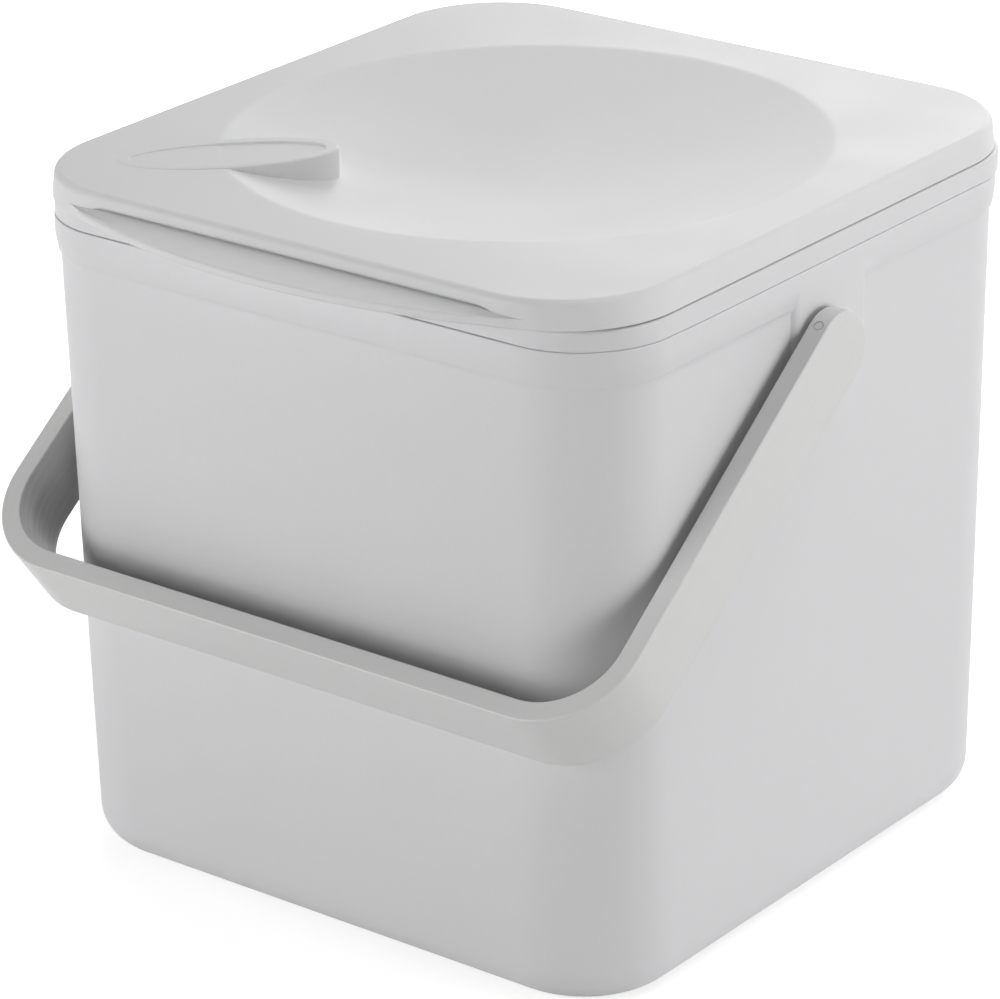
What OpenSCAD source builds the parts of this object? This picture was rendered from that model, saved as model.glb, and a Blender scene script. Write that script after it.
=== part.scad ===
// Counter-top caddy for kitchen scraps: a square tub with a swinging carry handle, a lift-off
// collar that clamps the liner bag, and a dished lid hinged to the collar. Millimetres.
// X runs along the front, Y from front to back and Z up. The origin is the middle of the face
// that the tub stands on.

/* [Tub] */
// Outside width and depth of the rim band
rim_w = 190; // [170:0.5:220]
// Height of the rim above the table
rim_z = 178.8; // [168:0.1:230]
// Plan radius of the rim band's corners
rim_r = 25.8; // [22:0.1:34]
// How far the wall's foot is set in from the rim band
foot_in = 2.6; // [2:0.1:12]
// Plan radius of the wall's corners at its foot
foot_r = 27.3; // [22:0.1:36]
// Radius of the rounded edge between the wall and the base
foot_edge = 9.5; // [6:0.5:14]
// Thickness of the tub's wall
tub_wall = 2.4; // [1.8:0.1:3]
// Thickness of the base at its foot ring
base_t = 3.6; // [2.6:0.1:5]
// Depth of the recess inside the foot ring
foot_recess = 1.2; // [0.6:0.1:1.4]
// Width of the foot ring
foot_ring = 8; // [5:0.5:14]
// Height of the rim band
band_h = 8.9; // [7:0.1:12]
// How far the rim band stands proud of the wall
band_step = 1.3; // [0.8:0.1:1.8]
// Height of the soft curve by which the wall swells into the rim band
band_curve = 5; // [3:0.1:6]

/* [Handle pivots] */
// Place of the pivots from front to back
pivot_y = -4.8; // [-8:0.1:4]
// Distance of the pivots below the rim
pivot_drop = 22; // [20:0.1:32]
// Width of the raised pad round each pivot
pad_w = 29.5; // [26:0.5:34]
// Place of the pad's middle line from front to back
pad_y = 0.75; // [-3:0.05:3]
// Radius of the handle's studs
stud_r = 4; // [3:0.1:5]
// Radial running clearance of studs and hinge pins
run_gap = 0.06; // [0.03:0.01:0.1]
// Gap between faces that pass or seat close to each other
face_gap = 0.3; // [0.2:0.05:0.4]

/* [Liner collar] */
// Height of the collar band between tub and lid
collar_h = 6.1; // [4.8:0.1:8]
// How far the collar is set in from the rim band at the front and sides
collar_in = 0.2; // [0.1:0.1:1]
// How far the collar stands out past the rim band at the back
collar_back = 1.4; // [1:0.1:3]
// Thickness of the skirt that drops inside the rim
skirt_t = 1.8; // [1.4:0.1:2.4]

/* [Lid] */
// Height of the lid above the collar
lid_h = 7.4; // [5.5:0.1:9]
// Dark gap between lid and collar
lid_gap = 0.2; // [0.1:0.05:0.4]
// Thickness of the lid's shell
lid_t = 2.2; // [1.6:0.1:2.6]
// How far the lid's lower side edges are set in from the rim band
lid_in = 0.2; // [0.2:0.1:1]
// How far the lid's sides lean in towards the top
lid_lean = 0.6; // [0.4:0.1:2]
// How far the lid's front stands out past the rim band
lid_front = 3.6; // [2:0.1:5]
// How far the lid's back stands out past the rim band
lid_back = 4.2; // [4.1:0.1:7]
// Plan radius of the lid's front corners
lid_front_r = 31; // [23:0.5:34]
// Plan radius of the lid's back corners
lid_back_r = 32; // [25:0.5:36]
// Radius of the lid's top edge
lid_edge = 2; // [0.8:0.1:2.4]
// Radius of the dish in the lid
dish_r = 80; // [60:0.5:80]
// Depth of the dish
dish_depth = 12; // [8:0.5:14]
// Radius of the soft edge of the dish
dish_edge = 8; // [4:0.5:10]

/* [Badge plinth] */
// Distance of the plinth's middle from the middle of the lid, along the diagonal
badge_at = 78.2; // [74:0.1:80]
// Length of the oval plinth
badge_l = 57.6; // [40:0.1:60]
// Width of the oval plinth
badge_w = 22.7; // [16:0.1:26]
// Width of the plinth's raised bead
badge_bead = 3.4; // [2:0.1:4]
// Height of the plinth above the lid
badge_h = 0.8; // [0.5:0.1:1.4]
// Depth of the bare recess inside the bead
badge_recess = 0.5; // [0.3:0.1:0.8]

/* [Finger tab] */
// Width of the tab where it leaves the lid
tab_w = 142; // [100:1:150]
// How far the tab reaches out past the lid's front
tab_reach = 13.3; // [10:0.1:16]
// Thickness of the tab
tab_t = 2.5; // [2:0.1:3]

/* [Hinge] */
// Distance of each hinge from the middle of the lid
hinge_x = 45; // [30:1:55]
// Distance of the hinge axis behind the rim band
hinge_back = 4; // [3.9:0.1:4.4]
// Radius of the collar's hinge barrels
barrel_r = 3.3; // [3:0.1:3.5]
// Radius of the hinge pins
pin_r = 1.6; // [1.2:0.1:1.8]
// Width of each lid knuckle
knuckle_w = 12; // [8:0.5:16]
// Width of each collar ear
ear_w = 5; // [3.5:0.5:7]
// Angle at which the open lid meets its stops
open_angle = 105; // [98:1:112]

/* [Handle] */
// Gap between the rim band and each arm of the handle
arm_gap = 1.6; // [1:0.1:4]
// Gap between the lowered bar and the tub's front wall
bar_gap = 1.6; // [1.5:0.05:8]
// Outer radius of the handle's two bends
bend_r = 25.5; // [18:0.5:32]
// Width of the strap
strap_w = 21.5; // [17:0.5:23]
// Thickness of the strap
strap_t = 5.4; // [4:0.1:6]
// Radius of the strap's long edges
strap_edge = 0.6; // [0.6:0.1:1.6]
// Angle of the lowered handle below the horizontal
droop = 36.8; // [20:0.2:37]

/* [Hidden] */
$fn = 96;
shell_fn = 72;
cut = 1;
thin = 0.05;

tub_grey = [0.80, 0.80, 0.80];
lid_grey = [0.84, 0.84, 0.84];
handle_grey = [0.75, 0.745, 0.735];
pin_grey = [0.62, 0.62, 0.61];

rim_half = rim_w / 2;
foot_half = rim_half - foot_in;
band_z = rim_z - band_h;
neck_half = rim_half - band_step;
neck_r = rim_r - band_step;
ledge_z = band_z + tub_wall;
recess_half = rim_half - tub_wall;
recess_r = rim_r - tub_wall;
rim_soft = 0.35;
band_steps = 8;
band_lip = 0.15;
pivot_z = rim_z - pivot_drop;
pad_z = min(pivot_z, band_z - 2);

collar_top = rim_z + collar_h;
collar_half = rim_half - collar_in;
collar_soft = 0.3;
skirt_half = recess_half - face_gap;
skirt_r = recess_r - face_gap;
mouth_half = skirt_half - skirt_t;
mouth_r = skirt_r - skirt_t;
skirt_lead = 0.6;

lid_z = collar_top + lid_gap;
lid_top = lid_z + lid_h;
lid_roof = lid_top - lid_t;
lid_half = rim_half - lid_in;
tray_front = -rim_half - lid_front;
tray_back = rim_half + lid_back;
face_lean = 0.25;
flange_half = mouth_half - 2 * face_gap;
flange_t = 1.5;
flange_drop = 3.2;
rib_t = 1.4;
rib_h = 3.5;

bowl_r = (dish_r * dish_r + dish_depth * dish_depth) / (2 * dish_depth);
rim_mid = sqrt(pow(bowl_r + dish_edge, 2) - pow(bowl_r - dish_depth + dish_edge, 2));
rim_angle = asin(rim_mid / (bowl_r + dish_edge));
dish_steps = 20;
edge_steps = 4;

tab_r = (tab_w * tab_w / 4 + tab_reach * tab_reach) / (2 * tab_reach);
tab_soft = 0.8;

hinge_y = rim_half + hinge_back;
hinge_z = collar_top - barrel_r;
knuckle_r = barrel_r - 0.2;
press_gap = 0.02;
pin_l = knuckle_w + 2 * ear_w + 2 * face_gap;
pin_chamfer = 0.4;
stop_t = 2.6;
stop_l = lid_h + 0.8;

wall_lean = (neck_half - foot_half) / band_z;
wall_at_pivot = foot_half + wall_lean * pivot_z;
bar_edge_y = strap_w / 2 * sin(droop);
bar_edge_z = strap_w / 2 * cos(droop);
bar_reach = foot_half + wall_lean * (pivot_z - bar_edge_z) + bar_gap + pivot_y + bar_edge_y;
handle_l = strap_t + bar_reach / (cos(droop) + wall_lean * sin(droop));
arm_in = rim_half + arm_gap;
handle_half = arm_in + strap_t;
shoulder_r = stud_r + 3;
barb_r = stud_r + 1.2;
barb_l = 2.6;
slot_w = 2.2;
mark_r = 1.5;
mark_deep = 0.4;

// Rounded rectangle with one radius in front and one at the back
module plan(half, front, back, front_r, back_r) {
    middle = (front + back) / 2;
    for (side = [-1, 1]) {
        translate([side * (half - front_r), front + front_r]) circle(front_r);
        translate([side * (half - back_r), back - back_r]) circle(back_r);
    }
    translate([-half, front + front_r]) square([2 * half, back - back_r - front - front_r]);
    translate([front_r - half, front]) square([2 * (half - front_r), middle - front]);
    translate([back_r - half, middle]) square([2 * (half - back_r), back - middle]);
}

// Rectangle from [x0, y0] to [x1, y1] with round corners
module soft_box(x0, y0, x1, y1, r) {
    for (x = [x0 + r, x1 - r]) {
        for (y = [y0 + r, y1 - r]) {
            translate([x, y]) circle(r, $fn = 32);
        }
    }
    translate([x0 + r, y0]) square([x1 - x0 - 2 * r, y1 - y0]);
    translate([x0, y0 + r]) square([x1 - x0, y1 - y0 - 2 * r]);
}

// Sweeps a section round a rounded rectangle. The section's X is the distance outside the
// rectangle's edge and its Y is the height.
module around(half, front, back, front_r, back_r) {
    for (side = [0, 1]) {
        mirror([side, 0, 0]) {
            translate([half - front_r, front + front_r, 0])
                rotate([0, 0, -90]) rotate_extrude(angle = 90) translate([front_r, 0]) children();
            translate([half - back_r, back - back_r, 0])
                rotate_extrude(angle = 90) translate([back_r, 0]) children();
            translate([half, back - back_r, 0])
                rotate([90, 0, 0]) linear_extrude(back - back_r - front - front_r) children();
        }
    }
    translate([half - front_r, front, 0])
        rotate([0, 0, -90]) rotate([90, 0, 0]) linear_extrude(2 * (half - front_r)) children();
    translate([back_r - half, back, 0])
        rotate([0, 0, 90]) rotate([90, 0, 0]) linear_extrude(2 * (half - back_r)) children();
}

// Flat plate with rounded corners whose upper and lower edges are rounded too
module soft_plate(half, front, back, front_r, back_r, z0, z1, edge) {
    translate([0, 0, z0]) linear_extrude(z1 - z0)
        plan(half - edge, front + edge, back - edge, front_r - edge, back_r - edge);
    around(half, front, back, front_r, back_r) soft_box(-3 * edge, z0, 0, z1, edge);
}

// Disc whose lower edge is rounded, for the corners of the tub's foot
module foot_disc(r, edge) {
    rotate_extrude($fn = shell_fn) {
        square([r - edge, edge]);
        intersection() {
            translate([r - edge, edge]) circle(edge, $fn = 40);
            square([r, edge]);
        }
    }
}

// Solid form of the drafted wall, drawn in by inset, from a floor up to a top
module drafted_form(inset, floor_z, edge, top_z) {
    foot_mid = foot_half - foot_r;
    neck_mid = neck_half - neck_r;
    hull() {
        for (x = [-1, 1]) {
            for (y = [-1, 1]) {
                translate([x * foot_mid, y * foot_mid, floor_z]) foot_disc(foot_r - inset, edge);
                translate([x * neck_mid, y * neck_mid, top_z - thin])
                    cylinder(r = neck_r - inset, h = thin, $fn = shell_fn);
            }
        }
    }
}

// Raised pad for a pivot on the right wall, square above and round below
module pivot_pad() {
    root = tub_wall / 2;
    translate([neck_half - root, 0, 0]) rotate([90, 0, 90]) linear_extrude(band_step + root) {
        translate([pad_y, pad_z]) circle(pad_w / 2);
        translate([pad_y - pad_w / 2, pad_z]) square([pad_w, ledge_z - pad_z]);
    }
}

module tub() {
    color(tub_grey) difference() {
        union() {
            drafted_form(0, 0, foot_edge, ledge_z);
            around(rim_half, -rim_half, rim_half, rim_r, rim_r) band_section();
            for (side = [0, 1]) {
                mirror([side, 0, 0]) pivot_pad();
            }
        }
        drafted_form(tub_wall, base_t, max(foot_edge - tub_wall, 2), ledge_z + cut);
        translate([0, 0, -cut]) linear_extrude(foot_recess + cut) foot_recess_plan();
        translate([-rim_w, pivot_y, pivot_z]) rotate([0, 90, 0])
            cylinder(r = stud_r + run_gap, h = 2 * rim_w);
    }
}

// Points of the soft curve from a fine lip on the wall out to the rim band's face
function band_curve_points() = [
    for (i = [0:band_steps]) let (share = i / band_steps)
        [(band_lip - band_step) * (1 + cos(180 * share)) / 2, band_z + band_curve * share]
];

// Section of the rim band: a fine radius at its upper edges and a soft curve out of the wall below
module band_section() {
    for (x = [rim_soft - tub_wall, -rim_soft]) {
        translate([x, rim_z - rim_soft]) circle(rim_soft, $fn = 32);
    }
    translate([rim_soft - tub_wall, rim_z - 2 * rim_soft]) square([tub_wall - 2 * rim_soft, 2 * rim_soft]);
    polygon(concat(band_curve_points(),
        [[0, rim_z - rim_soft], [-tub_wall, rim_z - rim_soft], [-tub_wall, band_z]]));
}

// Outline of the shallow recess inside the foot ring
module foot_recess_plan() {
    recess = foot_half - foot_edge - foot_ring;
    corner = foot_r - foot_edge / 2;
    plan(recess, -recess, recess, corner, corner);
}

// Places a copy at each of the two hinges
module at_hinges() {
    for (side = [-1, 1]) {
        translate([side * hinge_x, 0, 0]) children();
    }
}

// Bar along X through a hinge axis
module hinge_bar(r, length) {
    translate([-length / 2, hinge_y, hinge_z]) rotate([0, 90, 0]) cylinder(r = r, h = length, $fn = 48);
}

// Side view of an ear: a barrel, the web that joins it to the collar and the stop for the lid
module ear_side() {
    root = rim_half + face_gap;
    translate([hinge_y, hinge_z]) circle(barrel_r);
    polygon([
        [root, rim_z + face_gap],
        [root, collar_top],
        [hinge_y, collar_top],
        [hinge_y, hinge_z - barrel_r],
    ]);
    stop_start = tray_back - hinge_y + face_gap;
    translate([hinge_y, hinge_z]) rotate(-open_angle)
        soft_box(stop_start, -1, stop_start + stop_t, barrel_r + lid_gap + stop_l, 0.6);
}

module ears() {
    at_hinges() for (side = [0, 1]) {
        mirror([side, 0, 0]) translate([knuckle_w / 2 + face_gap, 0, 0])
            rotate([90, 0, 90]) linear_extrude(ear_w) ear_side();
    }
}

module liner_collar() {
    color(lid_grey) difference() {
        union() {
            soft_plate(collar_half, -collar_half, rim_half + collar_back, rim_r - collar_in,
                rim_r - collar_in, rim_z, collar_top, collar_soft);
            around(skirt_half, -skirt_half, skirt_half, skirt_r, skirt_r) skirt_section();
            ears();
        }
        translate([0, 0, ledge_z]) linear_extrude(collar_top)
            plan(mouth_half, -mouth_half, mouth_half, mouth_r, mouth_r);
        at_hinges() translate([-knuckle_w / 2 - face_gap, hinge_y - barrel_r - face_gap, rim_z - cut])
            cube([knuckle_w + 2 * face_gap, 3 * barrel_r, collar_h + 2 * cut]);
        at_hinges() hinge_bar(pin_r + press_gap, pin_l + 2 * cut);
    }
}

// Section of the skirt, with a lead-in at its lower outer edge
module skirt_section() {
    bottom = ledge_z + face_gap;
    polygon([
        [-skirt_t - skirt_lead, bottom],
        [-skirt_lead, bottom],
        [0, bottom + 2 * skirt_lead],
        [0, rim_z + collar_h / 2],
        [-skirt_t - skirt_lead, rim_z + collar_h / 2],
    ]);
}

// Disc with a rounded upper edge, for the corners of the lid
module lid_disc(r, edge) {
    rotate_extrude($fn = shell_fn) {
        square([r - edge, edge]);
        intersection() {
            translate([r - edge, 0]) circle(edge, $fn = 24);
            square([r, edge]);
        }
    }
}

// Solid form of the lid without its dish, drawn in by inset
module lid_form(inset, z0, z1, edge) {
    hull() {
        for (side = [-1, 1]) {
            low_x = lid_half;
            high_x = lid_half - lid_lean;
            front_low = tray_front + lid_front_r;
            back_low = tray_back - lid_back_r;
            translate([side * (low_x - lid_front_r), front_low, z0])
                cylinder(r = lid_front_r - inset, h = thin, $fn = shell_fn);
            translate([side * (low_x - lid_back_r), back_low, z0])
                cylinder(r = lid_back_r - inset, h = thin, $fn = shell_fn);
            translate([side * (high_x - lid_front_r), front_low + face_lean, z1 - edge])
                lid_disc(lid_front_r - inset, edge);
            translate([side * (high_x - lid_back_r), back_low - face_lean, z1 - edge])
                lid_disc(lid_back_r - inset, edge);
        }
    }
}

// Points of a round bowl's upper face from its soft edge down to the middle
function bowl_points(r) = [
    for (i = [0:dish_steps]) let (a = rim_angle * (1 - i / dish_steps))
        [r * sin(a), lid_top - dish_depth + bowl_r - r * cos(a)]
];
function soft_edge_points() = [
    for (i = [0:edge_steps - 1]) let (a = rim_angle * i / edge_steps)
        [rim_mid - dish_edge * sin(a), lid_top - dish_edge + dish_edge * cos(a)]
];

module dish_hollow() {
    rotate_extrude($fn = 144) polygon(concat(
        [[0, lid_top + cut], [rim_mid, lid_top + cut]], soft_edge_points(), bowl_points(bowl_r)));
}

// Solid under the dish, one shell thickness below its face
module bowl_solid() {
    rotate_extrude($fn = 144) polygon(concat(
        [[0, lid_top - lid_t / 2], [rim_mid, lid_top - lid_t / 2]], bowl_points(bowl_r + lid_t)));
}

// Oval drawn in by inset, with its long axis on the diagonal to the front left corner
module badge_oval(inset) {
    points = 64;
    rotate(-135) translate([badge_at, 0]) polygon([
        for (i = [0:points - 1]) let (a = 360 * i / points)
            [(badge_l / 2 - inset) * cos(a), (badge_w / 2 - inset) * sin(a)]
    ]);
}

module badge_post(z0) {
    translate([0, 0, z0]) linear_extrude(lid_top + badge_h - z0) badge_oval(0);
}

// Crescent tab under the lid's front edge
module finger_tab() {
    intersection() {
        translate([0, tray_front - tab_reach + tab_r, 0]) rotate_extrude($fn = 240) intersection() {
            soft_box(-tab_r, lid_z, tab_r, lid_z + tab_t, tab_soft);
            translate([0, lid_z]) square([tab_r, tab_t]);
        }
        translate([-tab_w / 2, tray_front - 2 * tab_reach, lid_z])
            cube([tab_w, 2 * tab_reach + lid_t / 2, tab_t]);
    }
}

// Knuckle that hangs from the lid's back edge
module knuckle() {
    hinge_bar(knuckle_r, knuckle_w);
    translate([-knuckle_w / 2, hinge_y - knuckle_r, hinge_z])
        cube([knuckle_w, tray_back - face_lean - hinge_y + knuckle_r, lid_roof - hinge_z + lid_t / 2]);
}

// Ribs under the lid's corners, from the dish to the flange
module corner_ribs() {
    outer = sqrt(2) * (flange_half - mouth_r) + mouth_r;
    for (turn = [45:90:315]) {
        rotate(turn) translate([rim_mid, -rib_t / 2, lid_roof - rib_h])
            cube([outer - rim_mid, rib_t, rib_h + lid_t / 2]);
    }
}

module lid_flange() {
    around(flange_half, -flange_half, flange_half, mouth_r, mouth_r)
        soft_box(-flange_t, lid_z - flange_drop, 0, lid_roof + lid_t / 2, 0.5);
}

module lid() {
    color(lid_grey) difference() {
        union() {
            difference() {
                union() {
                    lid_form(0, lid_z, lid_top, lid_edge);
                    bowl_solid();
                    badge_post(lid_top - lid_t);
                }
                difference() {
                    lid_form(lid_t, lid_z - cut, lid_roof, 0.5);
                    bowl_solid();
                }
                difference() {
                    dish_hollow();
                    badge_post(lid_top - dish_depth);
                }
            }
            finger_tab();
            lid_flange();
            corner_ribs();
            at_hinges() knuckle();
        }
        translate([0, 0, lid_top + badge_h - badge_recess]) linear_extrude(badge_recess + cut)
            badge_oval(badge_bead);
        at_hinges() hinge_bar(pin_r + run_gap, knuckle_w + 2 * cut);
    }
}

// Pin of one hinge, with chamfered ends
module hinge_pin(side) {
    color(pin_grey) translate([side * hinge_x - pin_l / 2, hinge_y, hinge_z]) rotate([0, 90, 0])
        rotate_extrude($fn = 48) polygon([
            [0, 0],
            [pin_r - pin_chamfer, 0],
            [pin_r, pin_chamfer],
            [pin_r, pin_l - pin_chamfer],
            [pin_r - pin_chamfer, pin_l],
            [0, pin_l],
        ]);
}

// Section of the handle's strap, from its outer face inwards
module strap_section() {
    soft_box(-strap_t, -strap_w / 2, 0, strap_w / 2, strap_edge);
}

// Snap stud on the inner face of the right arm: a shoulder, a stem and a split barb
module stud() {
    inner = wall_at_pivot - tub_wall - face_gap;
    difference() {
        rotate([0, 90, 0]) rotate_extrude() polygon([
            [0, inner - barb_l],
            [stud_r - 0.8, inner - barb_l],
            [barb_r, inner - 0.6],
            [barb_r, inner],
            [stud_r, inner],
            [stud_r, rim_half + face_gap],
            [shoulder_r, rim_half + face_gap],
            [shoulder_r, arm_in + strap_t / 2],
            [0, arm_in + strap_t / 2],
        ]);
        translate([inner - barb_l - cut, -slot_w / 2, -barb_r - cut])
            cube([barb_l + tub_wall + cut, slot_w, 2 * (barb_r + cut)]);
    }
}

// Right half of the handle standing upright, with its pivot axis on X
module half_handle() {
    translate([handle_half, 0, 0]) linear_extrude(handle_l - bend_r) strap_section();
    translate([handle_half - bend_r, 0, handle_l - bend_r]) rotate([90, 0, 0])
        rotate_extrude(angle = 90) translate([bend_r, 0]) strap_section();
    translate([handle_half - bend_r, 0, handle_l]) rotate([0, -90, 0])
        linear_extrude(handle_half - bend_r) strap_section();
    translate([handle_half, 0, 0]) rotate([0, 90, 0]) rotate_extrude() intersection() {
        soft_box(-strap_w / 2, -strap_t, strap_w / 2, 0, strap_edge);
        translate([0, -strap_t]) square([strap_w / 2, strap_t]);
    }
    stud();
}

module handle() {
    color(handle_grey) translate([0, pivot_y, pivot_z]) rotate([90 + droop, 0, 0]) difference() {
        for (side = [0, 1]) {
            mirror([side, 0, 0]) half_handle();
        }
        for (side = [-1, 1]) {
            translate([side * (handle_half - strap_t / 2), strap_w / 2 - mark_deep, 0])
                rotate([-90, 0, 0]) cylinder(r = mark_r, h = cut);
        }
    }
}

tub();
liner_collar();
lid();
hinge_pin(-1);  // hinge_pin_left
hinge_pin(1);  // hinge_pin_right
handle();
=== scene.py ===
"""Looks of the counter-top scraps caddy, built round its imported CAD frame.

The object's sizes at the top are millimetres. They repeat the CAD part's, or follow the photograph
a little closer where only looks depend on them. The studio's sizes and all meshes are metres.
X runs along the front, Y from front to back and Z up.
"""

import math

import bmesh
import bpy
from mathutils import Matrix, Vector


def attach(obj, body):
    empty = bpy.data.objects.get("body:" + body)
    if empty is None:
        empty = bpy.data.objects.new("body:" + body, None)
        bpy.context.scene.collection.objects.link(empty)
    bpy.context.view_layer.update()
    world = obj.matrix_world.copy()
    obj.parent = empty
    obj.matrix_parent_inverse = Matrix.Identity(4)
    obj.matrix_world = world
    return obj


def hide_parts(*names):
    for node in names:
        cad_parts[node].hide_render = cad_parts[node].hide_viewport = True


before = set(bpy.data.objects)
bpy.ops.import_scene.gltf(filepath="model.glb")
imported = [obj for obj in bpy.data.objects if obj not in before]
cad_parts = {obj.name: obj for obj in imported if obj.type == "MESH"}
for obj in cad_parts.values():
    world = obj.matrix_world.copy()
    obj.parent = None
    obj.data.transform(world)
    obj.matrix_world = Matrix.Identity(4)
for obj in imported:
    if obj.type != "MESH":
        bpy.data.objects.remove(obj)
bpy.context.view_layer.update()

MM = 0.001

# Sizes of the tub
RIM_HALF = 95.0
RIM_Z = 178.8
RIM_R = 25.8
FOOT_HALF = 92.4
FOOT_R = 27.3
FOOT_EDGE = 9.5
WALL_T = 2.4
BASE_T = 3.6
FOOT_RECESS = 1.2
FOOT_RING = 8.0
FOOT_SOFT = 0.4
RECESS_SOFT = 0.5
WALL_LEVELS = (40, 80, 120, 150)
BAND_Z = RIM_Z - 8.9
BAND_CURVE = 5.0
BAND_STEP = 1.3
BAND_LIP = 0.6
BAND_HOLLOW = 2.2
HOLLOW_TURN = math.radians(60)
RIM_SOFT = 0.35
FRONT_LIFT = 0.5
FRONT_LIFT_Y = (-50, -88)
TIGHT_X = (74, 58)
TIGHT_Y = (-45, -70)
LEDGE_Z = BAND_Z + WALL_T
LEDGE_SOFT = 0.3
NECK_HALF = RIM_HALF - BAND_STEP
NECK_R = RIM_R - BAND_STEP
PAD_Y = 0.75
PAD_HALF = 14.75
PAD_TOP = LEDGE_Z + 2
PAD_FACE = RIM_HALF - 0.01
PAD_FOOT = NECK_HALF - 0.15
PAD_ROOT = NECK_HALF - 1.2
PAD_SLOPE = 2.2
PAD_SPREAD = 1.6
PAD_FLARE = 0.6
PIVOT_Y = -4.8
PIVOT_Z = 156.8
STUD_R = 4.0
RUN_GAP = 0.06
FACE_GAP = 0.3

# Sizes of the liner collar
COLLAR_TOP = RIM_Z + 6.1
COLLAR_HALF = RIM_HALF - 0.2
COLLAR_BACK = RIM_HALF + 1.4
COLLAR_R = RIM_R - 0.2
SKIRT_HALF = RIM_HALF - WALL_T - FACE_GAP
SKIRT_R = RIM_R - WALL_T - FACE_GAP
SKIRT_T = 1.8
SKIRT_LEAD = 0.6
SKIRT_SOFT = 0.2
MOUTH_HALF = SKIRT_HALF - SKIRT_T
MOUTH_R = SKIRT_R - SKIRT_T
SLIT = 0.16
SLIT_SIDE = 0.05
SLIT_IN = 1.6
SLIT_SLOPE = 0.1
COLLAR_SOFT = 0.25
SHOULDER_OPEN = 0.9
SHOULDER_TIGHT = 0.04
SHOULDER_DROP = 0.12
SHOULDER_GAP = 0.03
MOUTH_LIP = 0.5

# Sizes of the lid
LID_Z = COLLAR_TOP + 0.2
LID_TOP = LID_Z + 7.4
LID_T = 2.2
LID_ROOF = LID_TOP - LID_T
LID_HALF = RIM_HALF - 0.2
LID_LEAN = 0.6
FACE_LEAN = 0.25
LID_FRONT = -RIM_HALF - 3.6
LID_BACK = RIM_HALF + 4.2
LID_FRONT_R = 31.0
LID_BACK_R = 32.0
LID_EDGE = 2.0
LID_FOOT = 0.25
LID_INNER_R = 0.5
ROOF_STEP = 0.6
DISH_R = 80.0
DISH_DEPTH = 12.0
DISH_EDGE = 8.0
BOWL_R = (DISH_R**2 + DISH_DEPTH**2) / (2 * DISH_DEPTH)
DISH_RIM = math.sqrt((BOWL_R + DISH_EDGE) ** 2 - (BOWL_R - DISH_DEPTH + DISH_EDGE) ** 2)
DISH_ANGLE = math.asin(DISH_RIM / (BOWL_R + DISH_EDGE))
DISH_STEPS = 40
FLANGE_HALF = MOUTH_HALF - 2 * FACE_GAP
FLANGE_T = 1.5
FLANGE_DROP = 3.2
FLANGE_SOFT = 0.3
RIB_T = 1.4
RIB_H = 3.5
RIB_GAP = 0.7

# Sizes of the bare oval plinth
BADGE_AT = 78.2
BADGE_L = 57.6
BADGE_W = 22.7
BADGE_BEAD = 3.4
BADGE_H = 0.8
BADGE_RECESS = 0.6
BADGE_OUTER_H = 0.2
BADGE_SOFT = 0.6
BADGE_SHOULDER = 2.4
BADGE_MELT = (-0.6, 0.75)
BADGE_DIP = 0.22
BADGE_WALL = 0.08
BADGE_STEPS = 128
BADGE_TURN = math.radians(-135)

# Sizes of the finger tab
TAB_W = 142.0
TAB_REACH = 13.3
TAB_T = 2.5
TAB_SOFT = 0.8
SCOOP_H = 2.4
SCOOP_RISE = 0.9
SCOOP_RISE_REACH = 4
SCOOP_RUN = 4.5
SCOOP_SHARE = 0.62
SCOOP_UNDER = 1.1
SCOOP_ROUND = 1.2
SCOOP_FADE = (0.8, 4.5)
SCOOP_CLEAR = 0.06
SCOOP_BITE = 0.5
TAB_FADE = (66.0, 76.0)
TAB_R = (TAB_W**2 / 4 + TAB_REACH**2) / (2 * TAB_REACH)
TAB_END = TAB_FADE[1] + 1
TAB_STEPS = 154
TAB_ROOT = 0.8 * LID_T
TAB_BURIED = 0.4
TAB_THIN = 1.5
TAB_SHARP = 0.02
TAB_LAP = 0.5

# Sizes of the hinge
HINGE_X = 45.0
HINGE_Y = RIM_HALF + 4.0
BARREL_R = 3.3
HINGE_Z = COLLAR_TOP - BARREL_R
PIN_R = 1.6
KNUCKLE_W = 12.0
KNUCKLE_R = BARREL_R - 0.2
EAR_W = 5.0
EAR_SOFT = 0.35
WEB_SOFT = 0.2
OPEN_ANGLE = math.radians(105)
STOP_T = 2.6
STOP_L = 8.2
STOP_SOFT = 0.9
STOP_FOOT = -1.0
NOTCH_BACK = 110.0
PIN_PRESS = 0.02

# Sizes of the handle
HANDLE_HALF = RIM_HALF + 1.6 + 5.4
HANDLE_L = 125.6
BEND_R = 25.5
STRAP_W = 21.6
STRAP_T = 5.6
STRAP_EDGE = 0.5
STRAP_BOW = 0.3
STRAP_TWIST = math.radians(0.3)
DROOP = math.radians(36.8)
SHOULDER_R = STUD_R + 3.0
SHOULDER_SOFT = 0.3
BARB_R = STUD_R + 1.2
BARB_L = 2.6
BARB_TIP_R = STUD_R - 0.8
BARB_FLAT = 0.6
BARB_SOFT = 0.1
SLOT_W = 2.2
AXIS_R = 0.2
MARK_R = 1.5
MARK_DEEP = 0.1
MARK_GROOVE = 0.3
MARK_DISC_R = MARK_R - 0.45
MARK_RING_R = (MARK_R - 0.35, MARK_R - 0.1)
BEND_MID = BEND_R - STRAP_T / 2
BAR_MID = HANDLE_HALF - BEND_R
ARM_MID = HANDLE_L - BEND_R
STRAP_HALF_LENGTH = BAR_MID + BEND_MID * math.pi / 2 + ARM_MID
STRAP_STEPS = 220
END_STEPS = 16

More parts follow.
